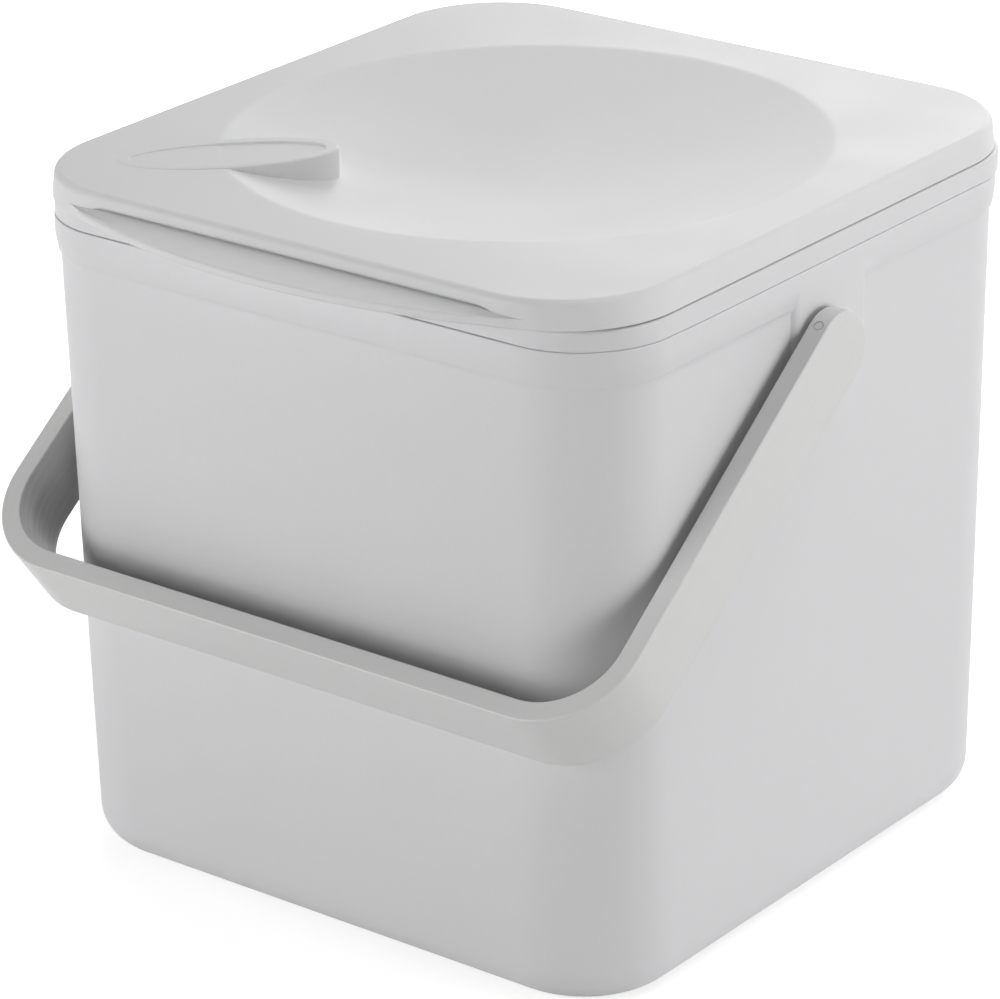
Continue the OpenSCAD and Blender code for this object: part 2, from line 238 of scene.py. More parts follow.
# Colours of the plastics, and how far their clouds lighten and darken them
WALL_TONE = (0.62, 0.62, 0.63)
LID_TONE = (0.63, 0.63, 0.635)
STRAP_TONE = (0.585, 0.58, 0.577)
PIN_TONE = (0.45, 0.45, 0.45)
WALL_CLOUD = 0.006
LID_CLOUD = 0.016
DRIFT_SHARE = 0.6
COLLAR_SHIFT = (0.3, 0.1, 0)
LID_SHIFT = (0.7, 0.2, 0)

# Usual range of a noise, and sizes of the plastics' clouds, grain and streaks
NOISE_RANGE = (0.3, 0.7)
CLOUD = 26
DRIFT = 75
WAVE = 19
SPECK = 0.7
GRAIN = 0.45
FLOW_BAND = 9
STREAK = 1.5
STREAK_STRETCH = (0.035, 1, 1)
BAND_STRETCH = (0.12, 1, 1)
PIN_MOTTLE = 2.5
PIN_SPECK = 0.5
PIN_GRAIN = 0.3

# Depth of the plastics' grain and waves, and their ranges of roughness and lightness
WALL_GRAIN_DEEP = 0.0035
FINE_GRAIN_DEEP = 0.003
WAVE_DEEP = 0.02
BAND_DEEP = 0.004
WALL_ROUGH = (0.46, 0.56)
STRAP_ROUGH = (0.34, 0.46)
PIN_ROUGH = (0.28, 0.4)
WALL_SPECULAR = 0.35
WALL_SPECKS = (0.992, 1.008)
STRAP_SPECKS = (0.99, 1.01)
PIN_SPECKS = (0.98, 1.02)
PIN_MOTTLES = (0.95, 1.05)
FAINT_STREAKS = (0.993, 1.007)
DRAG_STREAKS = (0.84, 1.1)

# Stretch of the strap's run over which its drag marks come in, and the layer that carries them
DRAG_START = BAR_MID - 14
DRAG_FULL = BAR_MID + 4
INNER_FACE = -0.5 * STRAP_T
INNER_LAYER = -0.4 * STRAP_T

# Place of the photograph's camera, solved from the object's edges
CAMERA_BEARING = math.radians(38.07)
CAMERA_HEIGHT = math.radians(22.72)
CAMERA_ROLL = math.radians(-0.97)
CAMERA_AWAY = 1.3019
CAMERA_ASIDE = -0.00889
CAMERA_RAISED = 0.09063
CAMERA_LENS = 174.8
CAMERA_SENSOR = 36
CAMERA_SIGHT = 20

# Levels of the world and floor, and sizes, distance and aim of the lamps, in metres
WORLD_LEVEL = 0.02
FLOOR_SIZE = 4
FLOOR_TONE = (0.8, 0.8, 0.8, 1)
FLOOR_ROUGH = 0.9
FLOOR_GLOW = 0.6
FLOOR_NEAR = 0.25
FLOOR_FAR = 0.6
ROOM_SIZE = (0.8, 0.4)
ROOM_AWAY = 1.3
ROOM_AIM = 0.1
LID_LAMP_SIZE = (0.35, 0.25)
LID_LAMP_AIM = 0.19

# How far a cutter reaches past the solid that it cuts
PAST = 1.0
# Points in each corner and side of a ring, the angle from which an edge stays sharp, and the
# distance within which points become one
CORNER_STEPS = 20
SIDE_STEPS = 12
SHARP = math.radians(34)
SAME_SPOT = 0.002


# Mesh tools


def plan_ring(half, front, back, front_r, back_r, z):
    """Rounded rectangle at one height, anticlockwise from where its front meets the right corner."""
    corners = (
        (half - front_r, front + front_r, front_r, -90),
        (half - back_r, back - back_r, back_r, 0),
        (back_r - half, back - back_r, back_r, 90),
        (front_r - half, front + front_r, front_r, 180),
    )
    points = []
    for x, y, r, start in corners:
        for step in range(CORNER_STEPS + 1):
            turn = math.radians(start + 90 * step / CORNER_STEPS)
            points.append(Vector((x + r * math.cos(turn), y + r * math.sin(turn), z)))
        points.append(None)
    ring = []
    count = len(points)
    for i, point in enumerate(points):
        if point is not None:
            ring.append(point)
            continue
        start, end = points[i - 1], points[(i + 1) % count]
        ring += [start.lerp(end, step / SIDE_STEPS) for step in range(1, SIDE_STEPS)]
    return ring


def square_ring(half, r, z):
    return plan_ring(half, -half, half, r, r, z)


def circle_like(ring, rho, z):
    """Circle whose points stand at the same bearings as a ring's points."""
    return [Vector((p.x, p.y, 0)).normalized() * rho + Vector((0, 0, z)) for p in ring]


def rise(value, start, end):
    """Soft step from 0 at start to 1 at end."""
    share = min(1.0, max(0.0, (value - start) / (end - start)))
    return share * share * (3 - 2 * share)


def at_front(point):
    """1 along the front, where lid and collar close tight, and 0 on the other sides."""
    return rise(point.x, *TIGHT_X) * rise(point.y, *TIGHT_Y)


def blended(open_ring, tight_ring):
    return [p.lerp(q, at_front(p)) for p, q in zip(open_ring, tight_ring)]


def lifted(ring):
    """The rim's top stands a touch higher at the front."""
    return [p + Vector((0, 0, FRONT_LIFT * rise(p.y, *FRONT_LIFT_Y))) for p in ring]


def new_piece(name, form, material=None):
    mesh = bpy.data.meshes.new(name)
    form.to_mesh(mesh)
    form.free()
    piece = bpy.data.objects.new(name, mesh)
    bpy.context.scene.collection.objects.link(piece)
    if material:
        mesh.materials.append(material)
    return piece


def loft(name, rings, closed=False, material=None):
    """Skin over rings of equal length, in millimetres. Ends are capped unless the rings close on
    themselves."""
    form = bmesh.new()
    rows = [[form.verts.new(point * MM) for point in ring] for ring in rings]
    pairs = list(zip(rows, rows[1:]))
    if closed:
        pairs.append((rows[-1], rows[0]))
    for low, high in pairs:
        for i in range(len(low)):
            j = (i + 1) % len(low)
            form.faces.new((low[i], low[j], high[j], high[i]))
    if not closed:
        form.faces.new(rows[0])
        form.faces.new(rows[-1])
    bmesh.ops.recalc_face_normals(form, faces=form.faces)
    return new_piece(name, form, material)


def prism(name, outline, half, soft, middle=0.0):
    """Solid across X, from half on one side of its middle to half on the other, with softly rounded
    ends. The outline is a list of (y, z) pairs."""
    middle_y = sum(y for y, z in outline) / len(outline)
    middle_z = sum(z for y, z in outline) / len(outline)
    rings = []
    for x, inset in ((-half, soft), (soft - half, 0), (half - soft, 0), (half, soft)):
        ring = []
        for y, z in outline:
            reach = math.hypot(y - middle_y, z - middle_z)
            share = 1 - inset / reach
            ring.append(
                Vector((middle + x, middle_y + (y - middle_y) * share, middle_z + (z - middle_z) * share))
            )
        rings.append(ring)
    return loft(name, rings)


def circle(r, steps):
    """Points of a circle as pairs."""
    turns = [2 * math.pi * i / steps for i in range(steps)]
    return [(r * math.cos(turn), r * math.sin(turn)) for turn in turns]


def turned(name, profile, y=0.0, z=0.0, steps=48):
    """Solid of revolution about a line along X, from (x, radius) pairs."""
    return loft(name, [[Vector((x, y + u, z + v)) for u, v in circle(r, steps)] for x, r in profile])


def round_bar(name, y, z, r, half, soft, middle=0.0):
    """Cylinder across X with softened ends."""
    profile = ((-half, r - soft), (soft - half, r), (half - soft, r), (half, r - soft))
    return turned(name, [(middle + x, rr) for x, rr in profile], y, z)


def block(name, low, high):
    corners = ((low[0], low[1]), (high[0], low[1]), (high[0], high[1]), (low[0], high[1]))
    return loft(name, [[Vector((x, y, z)) for x, y in corners] for z in (low[2], high[2])])


def settle(piece):
    """Makes a piece's modifiers real."""
    depsgraph = bpy.context.evaluated_depsgraph_get()
    made = bpy.data.meshes.new_from_object(piece.evaluated_get(depsgraph))
    piece.modifiers.clear()
    old = piece.data
    piece.data = made
    bpy.data.meshes.remove(old)
    return piece


def combine(piece, kind, *tools):
    """Joins solids to a piece (UNION) or takes them away (DIFFERENCE)."""
    for tool in tools:
        step = piece.modifiers.new(kind, "BOOLEAN")
        step.operation = kind
        step.solver = "EXACT"
        step.object = tool
    settle(piece)
    for tool in tools:
        bpy.data.objects.remove(tool)
    return piece


def shade(piece):
    """Smooth faces, sharp real edges, and flat faces kept flat beside small roundings."""
    mesh = piece.data
    form = bmesh.new()
    form.from_mesh(mesh)
    bmesh.ops.remove_doubles(form, verts=form.verts, dist=SAME_SPOT * MM)
    bmesh.ops.dissolve_degenerate(form, edges=form.edges, dist=SAME_SPOT * MM)
    form.to_mesh(mesh)
    form.free()
    for face in mesh.polygons:
        face.use_smooth = True
    mesh.set_sharp_from_angle(angle=SHARP)
    step = piece.modifiers.new("flat_faces", "WEIGHTED_NORMAL")
    step.keep_sharp = True
    step.weight = 100
    return settle(piece)


def spaced(start, end, steps):
    """Evenly spaced values from start to end, both included."""
    return [start + (end - start) * i / steps for i in range(steps + 1)]


# The tub


def wall_half(z):
    return FOOT_HALF + (NECK_HALF - FOOT_HALF) * z / BAND_Z


def wall_r(z):
    return FOOT_R + (NECK_R - FOOT_R) * z / BAND_Z


def wall_ring(z, inset=0.0):
    return square_ring(wall_half(z) - inset, wall_r(z) - inset, z)


def tub_rings():
    """Rings from the middle of the underside, up the outside, over the rim and down the inside."""
    ring_in = FOOT_HALF - FOOT_EDGE - FOOT_RING
    corner = FOOT_R - FOOT_EDGE / 2
    rings = [
        square_ring(ring_in - RECESS_SOFT, corner - RECESS_SOFT, FOOT_RECESS),
        square_ring(ring_in, corner, FOOT_RECESS - FOOT_SOFT),
        square_ring(ring_in, corner, FOOT_SOFT),
        square_ring(ring_in + FOOT_SOFT, corner, 0),
    ]
    for turn in spaced(0, math.pi / 2, 12):
        out = FOOT_EDGE * math.sin(turn)
        z = FOOT_EDGE * (1 - math.cos(turn))
        lean = (wall_half(z) - FOOT_HALF) * out / FOOT_EDGE
        rings.append(square_ring(FOOT_HALF - FOOT_EDGE + out + lean, FOOT_R - FOOT_EDGE + out, z))
    rings += [wall_ring(z) for z in WALL_LEVELS]
    for turn in spaced(0, HOLLOW_TURN, 6):
        out = BAND_LIP * (1 - math.cos(turn)) / (1 - math.cos(HOLLOW_TURN))
        rings.append(wall_ring(BAND_Z - BAND_HOLLOW * (1 - math.sin(turn) / math.sin(HOLLOW_TURN)), -out))
    for turn in spaced(0, math.pi / 2, 10)[1:]:
        out = BAND_LIP + (BAND_STEP - BAND_LIP) * math.sin(turn)
        z = BAND_Z + BAND_CURVE * 2 * turn / math.pi
        rings.append(square_ring(NECK_HALF + out, NECK_R + out, z))
    for turn in spaced(0, math.pi / 2, 4):
        inset, drop = RIM_SOFT * (1 - math.cos(turn)), RIM_SOFT * (1 - math.sin(turn))
        rings.append(lifted(square_ring(RIM_HALF - inset, RIM_R - inset, RIM_Z - drop)))
    recess_half, recess_r = RIM_HALF - WALL_T, RIM_R - WALL_T
    for turn in spaced(0, math.pi / 2, 4):
        out, drop = RIM_SOFT * (1 - math.sin(turn)), RIM_SOFT * (1 - math.cos(turn))
        rings.append(lifted(square_ring(recess_half + out, recess_r + out, RIM_Z - drop)))
    bore_half, bore_r = NECK_HALF - WALL_T, NECK_R - WALL_T
    rings += [
        square_ring(recess_half, recess_r, LEDGE_Z + LEDGE_SOFT),
        square_ring(recess_half - LEDGE_SOFT, recess_r - LEDGE_SOFT, LEDGE_Z),
        square_ring(bore_half + LEDGE_SOFT, bore_r + LEDGE_SOFT, LEDGE_Z),
        square_ring(bore_half, bore_r, LEDGE_Z - LEDGE_SOFT),
    ]
    rings += [wall_ring(z, WALL_T) for z in reversed(WALL_LEVELS)]
    edge = FOOT_EDGE - WALL_T
    for turn in spaced(math.pi / 2, 0, 8):
        inset = WALL_T + edge * (1 - math.sin(turn))
        z = BASE_T + edge * (1 - math.cos(turn))
        rings.append(square_ring(wall_half(z) - inset, FOOT_R - inset, z))
    return rings


def pivot_pad(side):
    """Raised pad round one pivot, with a low slope down to the wall."""
    levels = [(PAD_ROOT, -PAD_SPREAD)]
    for turn in spaced(0, math.pi / 2, 8):
        x = PAD_FOOT + (PAD_FACE - PAD_FOOT) * math.sin(turn)
        levels.append((x, PAD_SLOPE * (1 - math.cos(turn)) ** PAD_FLARE - PAD_SPREAD))
    rings = []
    for x, inset in levels:
        r = PAD_HALF - inset
        outline = [(PAD_Y + r, PAD_TOP), (PAD_Y - r, PAD_TOP)]
        for turn in spaced(math.pi, 2 * math.pi, 36):
            outline.append((PAD_Y + r * math.cos(turn), PIVOT_Z + r * math.sin(turn)))
        rings.append([Vector((side * x, y, z)) for y, z in outline])
    return loft("pad", rings)


def build_tub(material):
    tub = loft("tub_body", tub_rings(), material=material)
    combine(tub, "UNION", pivot_pad(1), pivot_pad(-1))
    bore = round_bar("stud_bore", PIVOT_Y, PIVOT_Z, STUD_R + RUN_GAP, RIM_HALF + 5 * PAST, 0)
    combine(tub, "DIFFERENCE", bore)
    shade(tub)
    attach(tub, "tub")
    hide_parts("tub")


# Node trees for what repeats or follows a rule


def feed(tree, sockets, values):
    """Gives each socket its number, or a link from another node."""
    for socket, value in zip(sockets, values):
        if isinstance(value, (int, float)):
            socket.default_value = value
        else:
            tree.links.new(value, socket)


def math_step(tree, operation, *values):
    made = tree.nodes.new("ShaderNodeMath")
    made.operation = operation
    feed(tree, made.inputs, values)
    return made.outputs[0]


def mixed(tree, share, first, second):
    made = tree.nodes.new("ShaderNodeMix")
    made.data_type = "FLOAT"
    feed(tree, (made.inputs[0], made.inputs[2], made.inputs[3]), (share, first, second))
    return made.outputs[0]


def mapped(tree, source, near, far, low, high):
    """Maps a value that runs from near to far on to the range from low to high."""
    made = tree.nodes.new("ShaderNodeMapRange")
    for label, value in (("From Min", near), ("From Max", far), ("To Min", low), ("To Max", high)):
        made.inputs[label].default_value = value
    tree.links.new(source, made.inputs["Value"])
    return made.outputs[0]


class NodeTree:
    """Geometry Nodes tree with named inputs for its sizes."""

    def __init__(self, name, sizes):
        self.group = bpy.data.node_groups.new(name, "GeometryNodeTree")
        self.group.is_modifier = True
        face = self.group.interface
        face.new_socket("Geometry", in_out="INPUT", socket_type="NodeSocketGeometry")
        for label in sizes:
            face.new_socket(label, in_out="INPUT", socket_type="NodeSocketFloat")
        face.new_socket("Material", in_out="INPUT", socket_type="NodeSocketMaterial")
        face.new_socket("Geometry", in_out="OUTPUT", socket_type="NodeSocketGeometry")
        self.start = self.group.nodes.new("NodeGroupInput")
        self.end = self.group.nodes.new("NodeGroupOutput")

    def link(self, source, target):
        self.group.links.new(source, target)

    def node(self, kind, **facts):
        made = self.group.nodes.new(kind)
        for key, value in facts.items():
            setattr(made, key, value)
        return made

    def given(self, label):
        return self.start.outputs[label]

    def math(self, operation, *values):
        return math_step(self.group, operation, *values)

    def vector(self, x=0.0, y=0.0, z=0.0):
        made = self.node("ShaderNodeCombineXYZ")
        feed(self.group, made.inputs, (x, y, z))
        return made.outputs[0]

    def finish(self, geometry):
        real = self.node("GeometryNodeRealizeInstances")
        paint = self.node("GeometryNodeSetMaterial")
        self.link(geometry, real.inputs[0])
        self.link(real.outputs[0], paint.inputs["Geometry"])
        self.link(self.given("Material"), paint.inputs["Material"])
        self.link(paint.outputs[0], self.end.inputs[0])
        return self.group


def grow(piece, group, sizes, material):
    """Runs a node tree on a piece with its sizes in millimetres and makes the result real."""
    step = piece.modifiers.new(group.name, "NODES")
    step.node_group = group
    for item in group.interface.items_tree:
        if item.item_type != "SOCKET" or item.in_out != "INPUT":
            continue
        if item.name in sizes:
            step[item.identifier] = float(sizes[item.name]) * MM
        elif item.name == "Material":
            step[item.identifier] = material
    return settle(piece)


def pairs_along_x_tree():
    """Copies its input to four places along X: two hinges, and one on each side of each hinge."""
    tree = NodeTree("hinge_pairs", ["Hinge to middle", "Piece to hinge"])
    places = None
    for label, copies in (("Piece to hinge", 2), ("Hinge to middle", 2)):
        line = tree.node("GeometryNodeMeshLine", mode="OFFSET")
        line.inputs["Count"].default_value = copies
        for place, share in (("Start Location", -1.0), ("Offset", 2.0)):
            tree.link(tree.vector(x=tree.math("MULTIPLY", tree.given(label), share)), line.inputs[place])
        spread = tree.node("GeometryNodeInstanceOnPoints")
        tree.link(line.outputs[0], spread.inputs["Points"])
        tree.link(places or tree.given("Geometry"), spread.inputs["Instance"])
        places = spread.outputs[0]
    return tree.finish(places)


def corner_ribs_tree():
    """One upright rib on each diagonal of the lid."""
    tree = NodeTree("corner_ribs", ["Inner radius", "Outer radius", "Thickness", "Height", "Foot"])
    length = tree.math("SUBTRACT", tree.given("Outer radius"), tree.given("Inner radius"))
    cube = tree.node("GeometryNodeMeshCube")
    tree.link(tree.vector(length, tree.given("Thickness"), tree.given("Height")), cube.inputs["Size"])
    place = tree.node("GeometryNodeTransform")
    middle = tree.math("MULTIPLY_ADD", length, 0.5, tree.given("Inner radius"))
    raised = tree.math("MULTIPLY_ADD", tree.given("Height"), 0.5, tree.given("Foot"))
    tree.link(cube.outputs["Mesh"], place.inputs["Geometry"])
    tree.link(tree.vector(x=middle, z=raised), place.inputs["Translation"])
    points = tree.node("GeometryNodePoints")
    points.inputs["Count"].default_value = 4
    spread = tree.node("GeometryNodeInstanceOnPoints")
    index = tree.node("GeometryNodeInputIndex")
    turn = tree.math("MULTIPLY_ADD", index.outputs[0], math.pi / 2, math.pi / 4)
    tree.link(points.outputs[0], spread.inputs["Points"])
    tree.link(place.outputs[0], spread.inputs["Instance"])
    tree.link(tree.vector(z=turn), spread.inputs["Rotation"])
    return tree.finish(spread.outputs[0])


def strap_bend_tree():
    """Bends a flat strap, long in X and lying on its middle plane, twice by a right angle into a U
    that stands on the handle's pivots."""
    tree = NodeTree("strap_bend", ["Half width", "Reach", "Bend radius", "Bow"])
    spot = tree.node("GeometryNodeInputPosition")
    split = tree.node("ShaderNodeSeparateXYZ")
    tree.link(spot.outputs[0], split.inputs[0])
    along, across, out = split.outputs
    bar = tree.math("SUBTRACT", tree.given("Half width"), tree.given("Bend radius"))
    arm = tree.math("SUBTRACT", tree.given("Reach"), tree.given("Bend radius"))
    far = tree.math("ABSOLUTE", along)
    past_bar = tree.math("MAXIMUM", tree.math("SUBTRACT", far, bar), 0.0)
    turn = tree.math("MINIMUM", tree.math("DIVIDE", past_bar, tree.given("Bend radius")), math.pi / 2)
    past_bend = tree.math("SUBTRACT", past_bar, tree.math("MULTIPLY", turn, tree.given("Bend radius")))
    radius = tree.math("ADD", tree.given("Bend radius"), out)
    x = tree.math("MULTIPLY_ADD", radius, tree.math("SINE", turn), tree.math("MINIMUM", far, bar))
    x = tree.math("MULTIPLY", x, tree.math("SIGN", along))
    z = tree.math("MULTIPLY_ADD", radius, tree.math("COSINE", turn), arm)
    z = tree.math("SUBTRACT", z, past_bend)
    side = tree.math("MINIMUM", tree.math("DIVIDE", far, tree.given("Half width")), 1.0)
    hollow = tree.math("SUBTRACT", 1.0, tree.math("MULTIPLY", side, side))
    z = tree.math("SUBTRACT", z, tree.math("MULTIPLY", hollow, tree.given("Bow")))
    move = tree.node("GeometryNodeSetPosition")
    tree.link(tree.given("Geometry"), move.inputs["Geometry"])
    tree.link(tree.vector(x, across, z), move.inputs["Position"])
    return tree.finish(move.outputs[0])


# The liner collar


def collar_outer(inset, z):
    r = COLLAR_R - inset
    return plan_ring(COLLAR_HALF - inset, inset - COLLAR_HALF, COLLAR_BACK - inset, r, r, z)


def collar_foot(inset, height):
    """Lower edge of the collar over the rim: a fine open line at the front, nearly shut elsewhere."""
    ring = []
    for point in lifted(collar_outer(inset, RIM_Z)):
        slit = SLIT_SIDE + (SLIT - SLIT_SIDE) * at_front(point)
        ring.append(point + Vector((0, 0, slit + height)))
    return ring


def collar_top(inset, drop, shoulder, z):
    return collar_outer(shoulder * inset, z - shoulder * drop)


def collar_rings():
    """Rings from the rim up the outside, over the top, down the mouth and up the skirt."""
    rings = [lifted(collar_outer(SLIT_IN, RIM_Z)), collar_foot(SLIT_IN - SLIT_SLOPE, 0)]
    for turn in spaced(0, math.pi / 2, 3):
        rings.append(
            collar_foot(COLLAR_SOFT * (1 - math.sin(turn)), COLLAR_SOFT * (1 - math.cos(turn)))
        )
    for turn in spaced(0, math.pi / 2, 6):
        inset, drop = 1 - math.cos(turn), 1 - math.sin(turn)
        rings.append(
            blended(
                collar_top(inset, drop, SHOULDER_OPEN, COLLAR_TOP - SHOULDER_DROP),
                collar_top(inset, drop, SHOULDER_TIGHT, LID_Z - SHOULDER_GAP),
            )
        )
    for turn in spaced(0, math.pi / 2, 4):
        out, drop = MOUTH_LIP * (1 - math.sin(turn)), MOUTH_LIP * (1 - math.cos(turn))
        rings.append(square_ring(MOUTH_HALF + out, MOUTH_R + out, COLLAR_TOP - drop))
    bottom = LEDGE_Z + FACE_GAP
    lead_half, lead_r = SKIRT_HALF - SKIRT_LEAD, SKIRT_R - SKIRT_LEAD
    rings += [
        square_ring(MOUTH_HALF, MOUTH_R, bottom + SKIRT_SOFT),
        square_ring(MOUTH_HALF + SKIRT_SOFT, MOUTH_R + SKIRT_SOFT, bottom),
        square_ring(lead_half - SKIRT_SOFT, lead_r - SKIRT_SOFT, bottom),
        square_ring(lead_half, lead_r, bottom + SKIRT_SOFT),
        square_ring(SKIRT_HALF, SKIRT_R, bottom + 2 * SKIRT_LEAD),
        lifted(square_ring(SKIRT_HALF, SKIRT_R, RIM_Z)),
    ]
    return rings


def hinge_ear():
    """Barrel, web and stop nose of one ear, standing at the middle."""
    half = EAR_W / 2
    root = RIM_HALF + FACE_GAP
    web = [
        (root, RIM_Z + FACE_GAP),
        (HINGE_Y, HINGE_Z - BARREL_R),
        (HINGE_Y, COLLAR_TOP),
        (root, COLLAR_TOP),
    ]
    start = LID_BACK - HINGE_Y + FACE_GAP
    end = start + STOP_T
    tip = BARREL_R + LID_Z - COLLAR_TOP + STOP_L
    nose = []
    for x, first in ((end - STOP_SOFT, 0), (start + STOP_SOFT, 90)):
        for turn in spaced(math.radians(first), math.radians(first + 90), 5):
            nose.append((x + STOP_SOFT * math.cos(turn), tip - STOP_SOFT + STOP_SOFT * math.sin(turn)))
    nose += [(start, STOP_FOOT), (end, STOP_FOOT)]
    level, upright = math.cos(OPEN_ANGLE), math.sin(OPEN_ANGLE)
    nose = [
        (HINGE_Y + out * level + up * upright, HINGE_Z - out * upright + up * level)
        for out, up in nose
    ]
    return combine(
        round_bar("ear", HINGE_Y, HINGE_Z, BARREL_R, half, EAR_SOFT),
        "UNION",
        prism("web", web, half, WEB_SOFT),
        prism("nose", nose, half, EAR_SOFT),
    )


def pin_bores(r, half):
    return [round_bar("pin_bore", HINGE_Y, HINGE_Z, r, half, 0, side * HINGE_X) for side in (-1, 1)]


def knuckle_notch(side):
    """Cutter for one knuckle's place in the collar's back edge."""
    half = KNUCKLE_W / 2 + FACE_GAP
    low = (side * HINGE_X - half, HINGE_Y - BARREL_R - FACE_GAP, RIM_Z - PAST)
    return block("notch", low, (side * HINGE_X + half, NOTCH_BACK, COLLAR_TOP + PAST))


def build_collar(material):
    collar = loft("liner_collar_body", collar_rings(), closed=True, material=material)
    ear_middle = KNUCKLE_W / 2 + FACE_GAP + EAR_W / 2
    sizes = {"Hinge to middle": HINGE_X, "Piece to hinge": ear_middle}
    ears = grow(hinge_ear(), pairs_along_x_tree(), sizes, material)
    combine(collar, "DIFFERENCE", knuckle_notch(-1), knuckle_notch(1))
    combine(collar, "UNION", ears)
    combine(collar, "DIFFERENCE", *pin_bores(PIN_R + PIN_PRESS, ear_middle + EAR_W / 2 + PAST))
    shade(collar)
    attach(collar, "collar")
    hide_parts("liner_collar")


# The lid


def lid_outer(inset, z):
    share = min(1.0, (z - LID_Z) / (LID_TOP - LID_EDGE - LID_Z))
    return plan_ring(
        LID_HALF - LID_LEAN * share - inset,
        LID_FRONT + FACE_LEAN * share + inset,
        LID_BACK - FACE_LEAN * share - inset,
        LID_FRONT_R - inset,
        LID_BACK_R - inset,
        z,
    )


def lid_face(x, y):
    """Height of the lid's upper face."""
    rho = math.hypot(x, y)
    if rho >= DISH_RIM:
        return LID_TOP
    if rho > BOWL_R * math.sin(DISH_ANGLE):
        return LID_TOP - DISH_EDGE + math.sqrt(DISH_EDGE**2 - (DISH_RIM - rho) ** 2)
    return LID_TOP - DISH_DEPTH + BOWL_R - math.sqrt(BOWL_R**2 - rho**2)


def lid_rings():
    """Rings from the dish's underside, out under the roof, down inside the wall, up the outside and
    down the dish."""
    pattern = lid_outer(0, LID_Z)
    under = BOWL_R + LID_T
    rings = []
    for turn in spaced(0, DISH_ANGLE, DISH_STEPS // 2)[1:]:
        z = LID_TOP - DISH_DEPTH + BOWL_R - under * math.cos(turn)
        rings.append(circle_like(pattern, under * math.sin(turn), z))
    rings.append(circle_like(pattern, DISH_RIM - ROOF_STEP, LID_ROOF))
    for turn in spaced(0, math.pi / 2, 3):
        inset, drop = LID_INNER_R * (1 - math.sin(turn)), LID_INNER_R * (1 - math.cos(turn))
        rings.append(lid_outer(LID_T + inset, LID_ROOF - drop))
    rings.append(lid_outer(LID_T, LID_Z))
    for turn in spaced(0, math.pi / 2, 3):
        over, up = 1 - math.sin(turn), 1 - math.cos(turn)
        open_foot, tight_foot = (lid_outer(r * over, LID_Z + r * up) for r in (LID_FOOT, SHOULDER_TIGHT))
        rings.append(blended(open_foot, tight_foot))
    for turn in spaced(0, math.pi / 2, 8):
        inset, drop = LID_EDGE * (1 - math.cos(turn)), LID_EDGE * (1 - math.sin(turn))
        rings.append(lid_outer(inset, LID_TOP - drop))
    for turn in spaced(0, DISH_ANGLE, 6):
        rho, drop = DISH_RIM - DISH_EDGE * math.sin(turn), DISH_EDGE * (1 - math.cos(turn))
        rings.append(circle_like(pattern, rho, LID_TOP - drop))
    for turn in spaced(DISH_ANGLE, 0, DISH_STEPS)[1:-1]:
        z = LID_TOP - DISH_DEPTH + BOWL_R * (1 - math.cos(turn))
        rings.append(circle_like(pattern, BOWL_R * math.sin(turn), z))
    return rings


def plinth_levels():
    """Steps of the plinth's outline: up its side, over its edge and down into the recess."""
    yield "side", 0
    yield "side", 1
    for turn in spaced(0, math.pi / 2, 6)[1:]:
        yield "edge", turn
    for turn in spaced(0, math.pi / 2, 3):
        yield "dip", turn
    yield "recess", BADGE_WALL


def plinth_ring(kind, share):
    ring = []
    for i in range(BADGE_STEPS):
        turn = 2 * math.pi * i / BADGE_STEPS
        outer = rise(math.cos(turn), *BADGE_MELT)
        wide = BADGE_SOFT + (BADGE_SHOULDER - BADGE_SOFT) * outer
        tall = BADGE_SOFT + (BADGE_OUTER_H - BADGE_SOFT) * outer
        if kind == "side":
            inset, drop = 0, tall
        elif kind == "edge":
            inset, drop = wide * (1 - math.cos(share)), tall * (1 - math.sin(share))
        elif kind == "dip":
            inset = BADGE_BEAD - BADGE_DIP + BADGE_DIP * math.sin(share)
            drop = BADGE_DIP * (1 - math.cos(share))
        else:
            inset, drop = BADGE_BEAD + share, BADGE_RECESS
        u = BADGE_AT + (BADGE_L / 2 - inset) * math.cos(turn)
        v = (BADGE_W / 2 - inset) * math.sin(turn)
        tilt = 0.5 + (u - BADGE_AT) / BADGE_L
        top = LID_TOP + BADGE_H + (BADGE_OUTER_H - BADGE_H) * tilt
        x = u * math.cos(BADGE_TURN) - v * math.sin(BADGE_TURN)
        y = u * math.sin(BADGE_TURN) + v * math.cos(BADGE_TURN)
        buried = kind == "side" and share == 0
        ring.append(Vector((x, y, lid_face(x, y) - LID_T / 2 if buried else top - drop)))
    return ring


def badge_plinth():
    """Bare oval plinth round a shallow crisp recess. Its inner end stands over the dish with a firm
    edge, and its outer end melts into the lid."""
    return loft("plinth", [plinth_ring(kind, share) for kind, share in plinth_levels()])


def lid_front_at(x):
    """Front of the lid's lower edge, with its corner radius."""
    past = max(0.0, abs(x) - (LID_HALF - LID_FRONT_R))
    return LID_FRONT + LID_FRONT_R - math.sqrt(LID_FRONT_R**2 - past**2)


def tab_at(x):
    """The lid's front wall and the tab's reach from it at one place along the front."""
    wall = lid_front_at(x)
    tip = LID_FRONT - TAB_REACH + TAB_R - math.sqrt(TAB_R**2 - x**2)
    return wall, max(0.0, wall - tip) * rise(abs(x), TAB_FADE[1], TAB_FADE[0])


